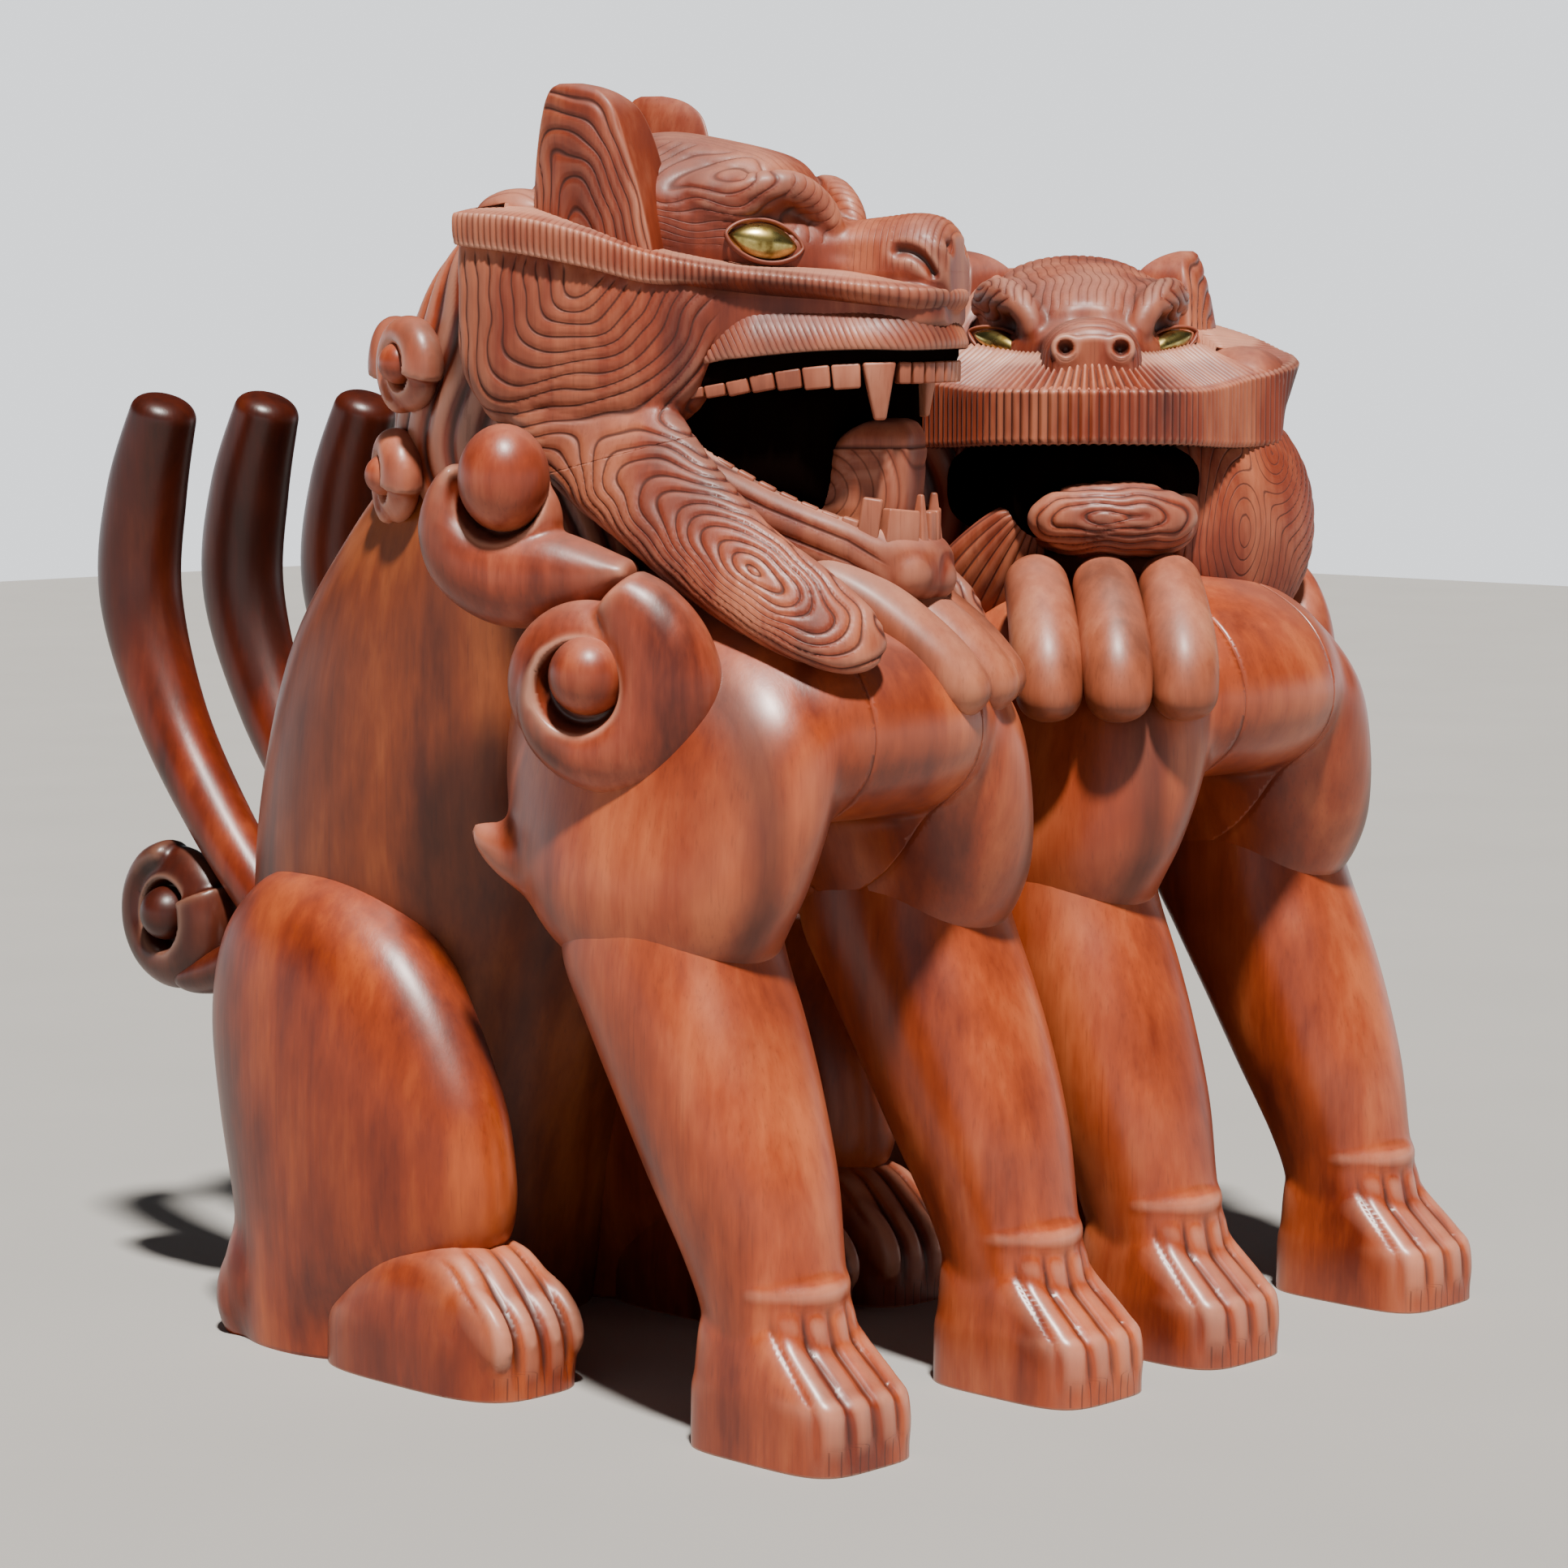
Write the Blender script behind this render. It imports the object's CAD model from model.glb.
# %% [markdown]
# # A pair of carved guardian lion dogs
#
# Two seated dogs of red-stained hardwood, each glued up from big blocks and then carved. The left one
# holds its head high with the mouth open, the right one is its mirror image with a lowered head. The
# solids of the frame give the size and place of every block. Here each block gets its carved skin: the
# round limbs, the growth-ring grooves on the faces, the teeth and curls, and the varnished wood.

# %% Load the frame
import math

import bpy
import numpy as np
from mathutils import Matrix, Vector


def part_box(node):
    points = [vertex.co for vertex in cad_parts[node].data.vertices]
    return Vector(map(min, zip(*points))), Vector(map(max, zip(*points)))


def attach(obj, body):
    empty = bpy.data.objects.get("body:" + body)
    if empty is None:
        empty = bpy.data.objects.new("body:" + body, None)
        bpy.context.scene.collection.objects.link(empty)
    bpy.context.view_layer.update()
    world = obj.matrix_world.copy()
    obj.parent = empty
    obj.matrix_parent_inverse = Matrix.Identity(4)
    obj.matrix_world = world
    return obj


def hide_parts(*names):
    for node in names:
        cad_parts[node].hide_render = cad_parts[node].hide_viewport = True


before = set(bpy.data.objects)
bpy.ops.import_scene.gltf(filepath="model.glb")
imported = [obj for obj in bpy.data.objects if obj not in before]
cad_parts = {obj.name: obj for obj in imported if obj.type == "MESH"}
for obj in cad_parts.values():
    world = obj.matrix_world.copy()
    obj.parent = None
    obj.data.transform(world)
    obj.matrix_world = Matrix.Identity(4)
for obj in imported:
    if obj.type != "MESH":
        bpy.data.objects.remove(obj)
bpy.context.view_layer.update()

print("solids in the frame:", len(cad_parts))

# %% [markdown]
# Both dogs share one set of measures, in millimetres, as a carver would mark out one pattern and turn it
# over for the partner. A dog's own middle line is x = 0, it looks along -Y, and its right side is at -X.
# The trunk solid tells how far each dog stands from the middle of the pair. The right dog's face is lowered,
# turned a little further than its jaw and set to one side, and its ears have a place of their own.
# Jaws and beards are measured from the height of a raised head on both dogs.

# %% Where the dogs and their heads are
MM = 0.001
DOGS = ("left_dog_", "right_dog_")


def per_dog(left, right):
    return dict(zip(DOGS, (left, right)))


trunk_low, trunk_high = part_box("left_dog_trunk")
DOG_X = -(trunk_low.x + trunk_high.x) / 2 / MM
MIDDLE_Y = 350
NECK_Y = 60
HEAD_Z = 1400
HEAD_TURN = per_dog(27, 46)
JAW_TURN = per_dog(27, 42)
HEAD_SIDE = per_dog(0, 18)
HEAD_DROP = per_dog(0, 133)
EAR_DROP = per_dog(0, 66)
EAR_OUT = per_dog(0, 26)
EAR_TURN = per_dog(0, 38)
EAR_BROAD = per_dog(1, 1.35)
EAR_LEAN = per_dog(0, 0.2)
MIRROR = Matrix.Scale(-1, 4, (1, 0, 0))
SIDES = {"right": Matrix(), "left": MIRROR}


def moved(x, y, z):
    return Matrix.Translation(Vector((x, y, z)) * MM)


def turned(degrees, axis="Z"):
    return Matrix.Rotation(math.radians(degrees), 4, axis)


def dog_place(dog):
    if dog == "left_dog_":
        return moved(-DOG_X, -MIDDLE_Y, 0)
    return moved(DOG_X, -MIDDLE_Y, 0) @ MIRROR


def head_place(dog, lowered=True):
    if not lowered:
        return dog_place(dog) @ moved(0, NECK_Y, HEAD_Z) @ turned(JAW_TURN[dog])
    neck = moved(0, NECK_Y, HEAD_Z - HEAD_DROP[dog])
    return dog_place(dog) @ neck @ turned(HEAD_TURN[dog]) @ moved(HEAD_SIDE[dog], 0, 0)


print("each dog stands", round(DOG_X), "mm from the middle of the pair")

# %% [markdown]
# Most blocks start as a sheet that is wrapped round, ring by ring: a grid primitive has its rows laid on
# the rings, the seam is merged, and the two open ends are filled. It is the quickest way to a smooth form
# of which the width and depth are known at a few heights, and it keeps the faces even.

# %% A sheet wrapped into a form
def only(*pieces):
    bpy.ops.object.select_all(action="DESELECT")
    for piece in pieces:
        piece.select_set(True)
    bpy.context.view_layer.objects.active = pieces[0]


def in_edit_mode(piece, *steps):
    only(piece)
    bpy.ops.object.mode_set(mode="EDIT")
    bpy.ops.mesh.select_all(action="SELECT")
    for step in steps:
        step()
    bpy.ops.object.mode_set(mode="OBJECT")


def set_marks(piece, **marks):
    for name, values in marks.items():
        mark = piece.data.attributes.get(name) or piece.data.attributes.new(name, "FLOAT", "POINT")
        mark.data.foreach_set("value", np.asarray(values, np.float32).ravel())


def wrapped(name, rings, **marks):
    rings = np.asarray(rings, float)
    count, sides = rings.shape[:2]
    bpy.ops.object.select_all(action="DESELECT")
    bpy.ops.mesh.primitive_grid_add(x_subdivisions=sides, y_subdivisions=count - 1, size=1)
    piece = bpy.context.object
    piece.name = name
    flat = np.empty(len(piece.data.vertices) * 3)
    piece.data.vertices.foreach_get("co", flat)
    flat = flat.reshape(-1, 3)
    side = np.rint((flat[:, 0] + 0.5) * sides).astype(int) % sides
    row = np.rint((flat[:, 1] + 0.5) * (count - 1)).astype(int)
    piece.data.vertices.foreach_set("co", (rings[row, side] * MM).ravel())
    set_marks(piece, **{key: np.asarray(values)[row, side] for key, values in marks.items()})
    in_edit_mode(
        piece,
        lambda: bpy.ops.mesh.remove_doubles(threshold=0.00002),
        lambda: bpy.ops.mesh.fill_holes(sides=0),
        lambda: bpy.ops.mesh.normals_make_consistent(inside=False),
    )
    bpy.ops.object.shade_smooth()
    return piece


# %% [markdown]
# The rings are read off a few rows that give the form's middle and its half widths, on a smooth curve
# through them. Level rows are slices of a standing block, head rows stand across the way the head looks,
# and a spine carries the ring along a bent limb, as on a plume.

# %% Rings from a few rows
END_CROWDING = 0.13


def along(rows, steps, foot=0.0, tip=0.0):
    rows = np.asarray(rows, float)
    last = len(rows) - 1
    t = np.linspace(0, 1, steps)
    if foot + tip > 0:
        t = t - END_CROWDING * np.sin(2 * np.pi * t)
    i = np.minimum((t * last).astype(int), last - 1)
    f = (t * last - i)[:, None]
    a, b, c, d = (rows[np.clip(i + k, 0, last)] for k in (-1, 0, 1, 2))
    read = b + 0.5 * f * (c - a + f * (2 * a - 5 * b + 4 * c - d + f * (3 * (b - c) + d - a)))
    gone = np.zeros(steps)
    if foot > 0:
        gone = np.maximum(gone, (foot - t) / foot)
    if tip > 0:
        gone = np.maximum(gone, (t - 1 + tip) / tip)
    read[:, 3:5] *= np.sqrt(np.clip(1 - gone * gone, 0.0001, 1))[:, None]
    return read


def round_square(sides, square):
    w = 2 * np.pi * (np.arange(sides) + 0.5) / sides
    c, s = np.cos(w), np.sin(w)
    return np.sign(c) * np.abs(c) ** (2 / square), np.sign(s) * np.abs(s) ** (2 / square)


def level_rings(rows, sides=64, steps=60, square=2.0, tip=0.0):
    read = along(rows, steps, 0, tip)[:, :, None]
    c, s = round_square(sides, square)
    x = read[:, 1] + read[:, 3] * c
    y = read[:, 2] + read[:, 4] * s
    z = read[:, 0] + 0 * c
    return np.stack([x, y, z], -1)


def head_rings(rows, sides=64, steps=60, square=2.0):
    rings = level_rings(rows, sides, steps, square)
    return np.stack([rings[..., 0], -rings[..., 2], rings[..., 1]], -1)


def direction(points):
    way = np.gradient(points, axis=0)
    return way / np.linalg.norm(way, axis=1)[:, None]


def spine_rings(rows, sides=32, steps=60, wide=(1, 0, 0), foot=0.0, tip=0.0, square=2.0):
    read = along(rows, steps, foot, tip)
    way = direction(read[:, :3])
    flat = np.asarray(wide, float) - (way @ np.asarray(wide, float))[:, None] * way
    flat /= np.linalg.norm(flat, axis=1)[:, None]
    up = np.cross(way, flat)
    c, s = round_square(sides, square)
    out = c[None, :, None] * (read[:, 3, None] * flat)[:, None]
    out = out + s[None, :, None] * (read[:, 4, None] * up)[:, None]
    return read[:, None, :3] + out


# %% [markdown]
# Where blocks flow into each other, as at the shoulders and the face, the rough forms are joined and
# remeshed into one skin with small even faces, like clay pressed together, and then smoothed. Grooves are
# pressed into that skin afterwards, because the remesh would close anything finer than its own faces.

# %% One skin over several forms
def applied(piece, kind, **settings):
    only(piece)
    modifier = piece.modifiers.new(kind.title(), kind)
    for key, value in settings.items():
        setattr(modifier, key, value)
    bpy.ops.object.modifier_apply(modifier=modifier.name)


def joined(forms):
    only(*forms)
    if len(forms) > 1:
        bpy.ops.object.join()
    return bpy.context.object


def pressed_together(name, forms, grain, passes):
    piece = joined(forms)
    piece.name = name
    applied(piece, "REMESH", mode="VOXEL", voxel_size=grain * MM, use_smooth_shade=True)
    applied(piece, "SMOOTH", factor=0.5, iterations=passes)
    return piece


def both_sides(form):
    applied(form, "MIRROR", use_mirror_merge=False)
    in_edit_mode(form, lambda: bpy.ops.mesh.normals_make_consistent(inside=False))
    return form


def lump(centre, radii, degrees=(0, 0, 0)):
    bpy.ops.object.select_all(action="DESELECT")
    bpy.ops.mesh.primitive_uv_sphere_add(
        segments=32, ring_count=20, radius=1, location=Vector(centre) * MM,
        rotation=[math.radians(w) for w in degrees], scale=Vector(radii) * MM)
    bpy.ops.object.transform_apply(location=True, rotation=True, scale=True)
    return bpy.context.object


def sawn_off(piece, point, normal):
    def saw():
        bpy.ops.mesh.bisect(
            plane_co=Vector(point) * MM, plane_no=normal, use_fill=True, clear_inner=True)

    in_edit_mode(piece, saw)
    return piece


# %% [markdown]
# A carver's gouge leaves a groove, and stain gathers in it. Each carved skin keeps two numbers at every
# point: where the point lies between two grooves of a pattern, and how deep the pattern is cut there. The
# first presses the mesh, and the wood finish reads both again to darken the bottom of the groove. A third
# number says how hollow or proud the place is, for the dark recesses and the worn edges.

# %% Grooves, hollows and worn edges
def ease(value, low, high):
    t = np.clip((value - low) / (high - low), 0, 1)
    return t * t * (3 - 2 * t)


def points_of(piece):
    flat = np.empty(len(piece.data.vertices) * 3)
    piece.data.vertices.foreach_get("co", flat)
    return flat.reshape(-1, 3) / MM


def normals_of(piece):
    flat = np.empty(len(piece.data.vertices) * 3)
    piece.data.vertex_normals.foreach_get("vector", flat)
    return flat.reshape(-1, 3)


def set_points(piece, points):
    piece.data.vertices.foreach_set("co", (points * MM).ravel())
    piece.data.update()


def groove(line, width):
    off = np.abs(line - np.rint(line))
    return np.exp(-((off / width) ** 2))


def carve(piece, line, cut, depth, width=0.17):
    press = depth * cut * groove(line, width)
    set_points(piece, points_of(piece) - normals_of(piece) * press[:, None])
    set_marks(piece, line=line, cut=cut)


def dent(piece, centre, radii, depth):
    points = points_of(piece)
    away = np.stack([np.abs(points[:, 0]), points[:, 1], points[:, 2]], 1) - np.asarray(centre, float)
    near = np.exp(-((away / np.asarray(radii, float)) ** 2).sum(1))
    set_points(piece, points - normals_of(piece) * (depth * near)[:, None])


def read_relief(piece, reach=24, scale=5.0):
    points = points_of(piece)
    ends = np.empty(len(piece.data.edges) * 2, np.int32)
    piece.data.edges.foreach_get("vertices", ends)
    a, b = ends.reshape(-1, 2).T
    share = np.bincount(a, minlength=len(points)) + np.bincount(b, minlength=len(points))
    share = np.maximum(share, 1)[:, None]
    soft = points.copy()
    for _ in range(reach):
        total = np.stack([
            np.bincount(a, soft[b, k], len(points)) + np.bincount(b, soft[a, k], len(points))
            for k in range(3)], 1)
        soft = 0.5 * soft + 0.5 * total / share
    hollow = ((soft - points) * normals_of(piece)).sum(1) / scale
    set_marks(piece, relief=np.clip(hollow, -1, 1))
    return piece


# %% [markdown]
# The whole pair is one stained hardwood with a satin varnish. Its streaks run up the blocks, so the noise
# is drawn out along Z. The finishes share one recipe with different colours, since each block was cut from
# its own board: the brown back, the red haunches, the paler chest and legs, the drier carved heads, the dark
# plumes. Grooves, hollows and worn edges come from the numbers on the mesh, and the tops are greyed by
# weather.

# %% Wood finishes
def node_in(tree, kind, settings=None, **sockets):
    node = tree.nodes.new("ShaderNode" + kind)
    for key, value in (settings or {}).items():
        setattr(node, key, value)
    for key, value in sockets.items():
        name = key.replace("_", " ")
        socket = node.inputs[int(key[1:])] if key[0] == "i" and key[1:].isdigit() else node.inputs[name]
        if isinstance(value, bpy.types.NodeSocket):
            tree.links.new(value, socket)
        else:
            socket.default_value = value
    return node


def hexed(text):
    parts = [int(text[i:i + 2], 16) / 255 for i in (1, 3, 5)]
    return tuple(((p + 0.055) / 1.055) ** 2.4 if p > 0.04 else p / 12.92 for p in parts) + (1.0,)


def streaks(tree, place, size, draw, detail=5.0):
    stretch = node_in(tree, "Mapping", Vector=place, Scale=(1, 1, draw))
    noise = node_in(tree, "TexNoise", Vector=stretch.outputs[0], Scale=size, Detail=detail, Roughness=0.6)
    return noise.outputs[0]


def ranged(tree, value, low, high, to_low=0.0, to_high=1.0):
    node = node_in(tree, "MapRange", i0=value, i1=low, i2=high, i3=to_low, i4=to_high)
    return node.outputs[0]


def maths(tree, what, a, b=0.0):
    return node_in(tree, "Math", {"operation": what}, i0=a, i1=b).outputs[0]


def mixed(tree, share, under, over, how="MIX"):
    node = node_in(tree, "Mix", {"data_type": "RGBA", "blend_type": how}, i0=share, i6=under, i7=over)
    return node.outputs[2]


def mark(tree, name):
    return node_in(tree, "Attribute", {"attribute_name": name}).outputs["Fac"]


def new_finish(name):
    material = bpy.data.materials.new(name)
    material.use_nodes = True
    tree = material.node_tree
    return material, tree, tree.nodes["Principled BSDF"], node_in(tree, "TexCoord").outputs["Object"]


GREYED, WORN, IN_PORES = "#b98f82", "#d39a80", "#3c150c"
IN_HOLLOWS, IN_GROOVES, IN_SHADE = "#2c0f09", "#36140d", "#080302"
GROOVE_DARK = 0.8


def stained_wood(name, pale, middle, deep, rough, coat, weather):
    material, tree, shader, place = new_finish(name)
    broad = streaks(tree, place, 7.0, 0.3)
    fine = streaks(tree, place, 60.0, 0.05, 6.0)
    pores = streaks(tree, place, 260.0, 0.03, 3.0)
    blotch = streaks(tree, place, 3.2, 0.7, 4.0)
    ramp = node_in(tree, "ValToRGB", Fac=maths(tree, "ADD", maths(tree, "MULTIPLY", broad, 0.85),
                                               maths(tree, "MULTIPLY", fine, 0.15)))
    stops = ramp.color_ramp.elements
    stops[0].position, stops[0].color = 0.36, hexed(deep)
    stops[1].position, stops[1].color = 0.64, hexed(pale)
    stops.new(0.5).color = hexed(middle)
    colour = mixed(tree, ranged(tree, blotch, 0.45, 0.7, 0.0, 0.5), ramp.outputs[0], hexed(deep))
    colour = mixed(tree, ranged(tree, pores, 0.56, 0.72, 0.0, 0.25), colour, hexed(IN_PORES))
    up = node_in(tree, "SeparateXYZ", Vector=node_in(tree, "NewGeometry").outputs["Normal"]).outputs[2]
    grey = maths(tree, "MULTIPLY", ranged(tree, up, 0.35, 0.95), ranged(tree, blotch, 0.35, 0.6))
    colour = mixed(tree, maths(tree, "MULTIPLY", grey, weather), colour, hexed(GREYED))
    relief = mark(tree, "relief")
    colour = mixed(tree, ranged(tree, relief, 0.05, 0.8, 0.0, 0.8), colour, hexed(IN_HOLLOWS))
    colour = mixed(tree, ranged(tree, relief, -0.12, -0.7, 0.0, 0.4), colour, hexed(WORN))
    line = maths(tree, "FRACT", mark(tree, "line"))
    off = maths(tree, "ABSOLUTE", maths(tree, "SUBTRACT", line, 0.5))
    cut = maths(tree, "MULTIPLY", ranged(tree, off, 0.40, 0.48), mark(tree, "cut"))
    colour = mixed(tree, maths(tree, "MULTIPLY", cut, GROOVE_DARK), colour, hexed(IN_GROOVES))
    colour = mixed(tree, mark(tree, "shade"), colour, hexed(IN_SHADE))
    tree.links.new(colour, shader.inputs["Base Color"])
    worn = maths(tree, "ADD", ranged(tree, blotch, 0.3, 0.7, rough - 0.06, rough + 0.1),
                 maths(tree, "MULTIPLY", cut, 0.25))
    tree.links.new(worn, shader.inputs["Roughness"])
    shader.inputs["Specular IOR Level"].default_value = 0.35
    shader.inputs["Coat Weight"].default_value = coat
    shader.inputs["Coat Roughness"].default_value = 0.3
    height = maths(tree, "SUBTRACT", maths(tree, "MULTIPLY", fine, 0.35), maths(tree, "MULTIPLY", cut, 0.8))
    bump = node_in(tree, "Bump", Strength=0.35, Distance=0.004, Height=height)
    tree.links.new(bump.outputs[0], shader.inputs["Normal"])
    return material


BODY = stained_wood("satin body wood", "#a84c1c", "#84300c", "#541605", 0.4, 0.25, 0.1)
CHEST = stained_wood("pale chest wood", "#af5931", "#913b18", "#64200a", 0.38, 0.4, 0.15)
BACK = stained_wood("brown back wood", "#8e4820", "#6e2e0e", "#471805", 0.42, 0.2, 0.05)
FACE = stained_wood("dry carved wood", "#a45c3e", "#7a3018", "#4c1508", 0.5, 0.1, 0.25)
CURL = stained_wood("red curl wood", "#a8583a", "#82341c", "#4e180a", 0.4, 0.22, 0.2)
PLUME = stained_wood("dark plume wood", "#8a3a1c", "#662008", "#3c1004", 0.36, 0.15, 0.0)
TOOTH = stained_wood("pale tooth wood", "#b9775c", "#97533a", "#66301f", 0.46, 0.15, 0.1)
LOCK = stained_wood("pale lock wood", "#ac6a4c", "#8e4a30", "#64301c", 0.46, 0.15, 0.3)
JOINERY = stained_wood("bare joinery wood", "#cfa583", "#b98562", "#8d5d40", 0.6, 0.0, 0.0)
print("wood finishes:", [m.name for m in (BODY, CHEST, BACK, FACE, CURL, PLUME, TOOTH, LOCK, JOINERY)])

# %% [markdown]
# The eyes are brass let into the wood. Polished brass that has stood outdoors keeps a bright middle and
# takes a brown bloom in patches, so the metal's colour and roughness follow a soft noise.

# %% Brass finish
def old_brass():
    material, tree, shader, place = new_finish("old eye brass")
    bloom = node_in(tree, "TexNoise", Vector=place, Scale=48.0, Detail=4.0).outputs[0]
    colour = mixed(tree, ranged(tree, bloom, 0.42, 0.68), hexed("#c9b56e"), hexed("#6f5a2a"))
    tree.links.new(colour, shader.inputs["Base Color"])
    tree.links.new(ranged(tree, bloom, 0.35, 0.7, 0.2, 0.42), shader.inputs["Roughness"])
    shader.inputs["Metallic"].default_value = 1.0
    return material


BRASS = old_brass()
print("metal finish:", BRASS.name)

# %% [markdown]
# Nothing lights the inside of the mouths, and the stain there is nearly black. A dull finish without any
# sheen keeps them dark.

# %% Finish inside the mouths
def black_stain():
    material, tree, shader, place = new_finish("black mouth stain")
    grain = streaks(tree, place, 60.0, 0.05)
    tree.links.new(mixed(tree, grain, hexed("#070302"), hexed("#120806")), shader.inputs["Base Color"])
    shader.inputs["Roughness"].default_value = 0.95
    shader.inputs["Specular IOR Level"].default_value = 0.0
    return material


DARK = black_stain()
print("mouth finish:", DARK.name)

# %% [markdown]
# A finished form is copied to its place on each dog, with its own mesh and its place in that mesh. The
# right dog is a mirror image, and so is the second of two limbs, so a mirrored copy has its faces turned
# back outwards.

# %% Setting a form on the dogs
def set_on_dog(form, dog, node, finish, place, part=""):
    piece = form.copy()
    piece.data = form.data.copy()
    bpy.context.collection.objects.link(piece)
    piece.name = dog + node + "_carved" + part
    piece.data.name = piece.name
    piece.data.transform(place)
    if place.determinant() < 0:
        piece.data.flip_normals()
    piece.data.materials.clear()
    piece.data.materials.append(finish)
    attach(piece, "root")
    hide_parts(dog + node)


def set_on_head(form, dog, node, finish=FACE, part="", lowered=True):
    set_on_dog(form, dog, node, finish, head_place(dog, lowered), part)


def done_with(*forms):
    for form in forms:
        bpy.data.objects.remove(form)


def set_on_both(form, node, finish):
    for dog in DOGS:
        set_on_dog(form, dog, node, finish, dog_place(dog))
    print(node, "on both dogs:", len(form.data.polygons), "faces")
    done_with(form)


def set_right_and_left(form, node, finish):
    for dog in DOGS:
        set_on_dog(form, dog, node + "_right", finish, dog_place(dog))
        set_on_dog(form, dog, node + "_left", finish, dog_place(dog) @ MIRROR)
    print(node, "right and left on both dogs:", len(form.data.polygons), "faces")
    done_with(form)


# %% [markdown]
# The trunk is one tall block, round in every slice, leaning forward at the neck. It could be lathed if it
# stood straight. Level rings follow the lean, and the streaky varnish does the rest.

# %% Trunk
TRUNK_ROWS = [
    [0, 0, 600, 215, 150], [90, 0, 612, 235, 178], [260, 0, 622, 262, 218],
    [480, 0, 606, 280, 268], [705, 0, 565, 285, 312], [945, 0, 520, 268, 292],
    [1110, 0, 445, 236, 255], [1225, 0, 375, 200, 215], [1300, 0, 320, 160, 170]]
trunk = wrapped("trunk", level_rings(TRUNK_ROWS, 96, 100, 2.1, 0.05))
set_on_both(trunk, "trunk", BACK)

# %% [markdown]
# The chest is three blocks glued side by side and carved through as one round mass, with an arch over the
# front legs and a pointed tuft behind each elbow. The forms are pressed together into one skin, which is
# then sawn where the glue lines are, so the seams run through the finished curve as they do on the real
# chest. A further seam on each shoulder is only drawn, as a dark line.

# %% Chest in three blocks
BREAST_ROWS = [
    [764, 0, -60, 130, 110], [784, 0, -56, 205, 190], [830, 0, -32, 246, 270],
    [900, 0, -12, 266, 306], [985, 0, 6, 246, 278], [1040, 0, 40, 196, 214], [1076, 0, 70, 120, 120]]
SHOULDER_ROWS = [
    [588, -218, -58, 100, 132], [604, -218, -54, 116, 158], [640, -222, -44, 122, 194],
    [700, -214, -36, 134, 230], [800, -190, -22, 140, 264], [900, -168, -10, 138, 268],
    [985, -148, 14, 118, 226], [1045, -132, 40, 88, 150], [1080, -118, 56, 50, 80]]
TUFT_ROWS = [
    [-240, 80, 690, 62, 62], [-280, 150, 714, 44, 44], [-306, 190, 737, 27, 27], [-320, 214, 754, 8, 8]]
GLUE_LINE_X = 100
GLUE_GAP = 1.2
DRAWN_SEAM_X, DRAWN_SEAM_FROM, DRAWN_SEAM_PITCH = 250, 180, 320
shoulders = joined([
    wrapped("shoulder", level_rings(SHOULDER_ROWS, 64, 60)),
    wrapped("tuft", spine_rings(TUFT_ROWS, 24, 24))])
chest = pressed_together(
    "chest", [wrapped("breast", level_rings(BREAST_ROWS, 64, 60, 2.4)), both_sides(shoulders)], 8, 30)
read_relief(chest, 20, 9.0)
spot = points_of(chest)
out = np.abs(spot[:, 0])
set_marks(
    chest, line=(out - DRAWN_SEAM_X) / DRAWN_SEAM_PITCH,
    cut=0.8 * (out > DRAWN_SEAM_FROM) * (spot[:, 1] < 0))


def chest_block(sides):
    only(chest)
    bpy.ops.object.duplicate(linked=False)
    block = bpy.context.object
    for point, normal in sides:
        sawn_off(block, point, normal)
    return block


middle_edge = GLUE_LINE_X - GLUE_GAP
breast = chest_block([((-middle_edge, 0, 0), (1, 0, 0)), ((middle_edge, 0, 0), (-1, 0, 0))])
shoulder = chest_block([((-GLUE_LINE_X - GLUE_GAP, 0, 0), (-1, 0, 0))])
set_on_both(breast, "breast", CHEST)
set_right_and_left(shoulder, "shoulder", CHEST)
done_with(chest)

# %% [markdown]
# A front leg is a tapering post that leans back to the shoulder. Its paw is a block with four toes, and a
# fold of skin lies round the front of the wrist. Post, block and fold are pressed together and sawn flat at
# the floor. The toes are then drawn out of the block as four ridges, with short claw cuts near the floor.

# %% Front legs
LEG_ROWS = [
    [20, -226, -278, 80, 96], [150, -226, -258, 86, 94], [225, -226, -234, 93, 98],
    [330, -225, -194, 110, 118], [430, -224, -150, 120, 132], [520, -222, -106, 126, 142],
    [600, -220, -66, 126, 148], [690, -216, -50, 118, 134]]
PAW_ROWS = [
    [-30, -228, -294, 95, 132], [70, -228, -293, 95, 130], [98, -228, -285, 93, 116],
    [150, -227, -258, 86, 84], [200, -227, -242, 70, 62]]
TOE_WIDE, TOE_TAPER, TOE_TOP = 44, 0.22, (166, 196)
TOE_RISE, TOE_SINK = 8, 5
CLAWS_A_TOE = 3
FOLD_SAG = 12


def wrist_fold(x, y, z, half_w, half_d, thick):
    bend = np.radians(np.linspace(-168, -12, 9))
    return [
        [x + half_w * math.cos(w), y + half_d * math.sin(w), z + FOLD_SAG * math.sin(w), thick, 0.8 * thick]
        for w in bend]


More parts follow.
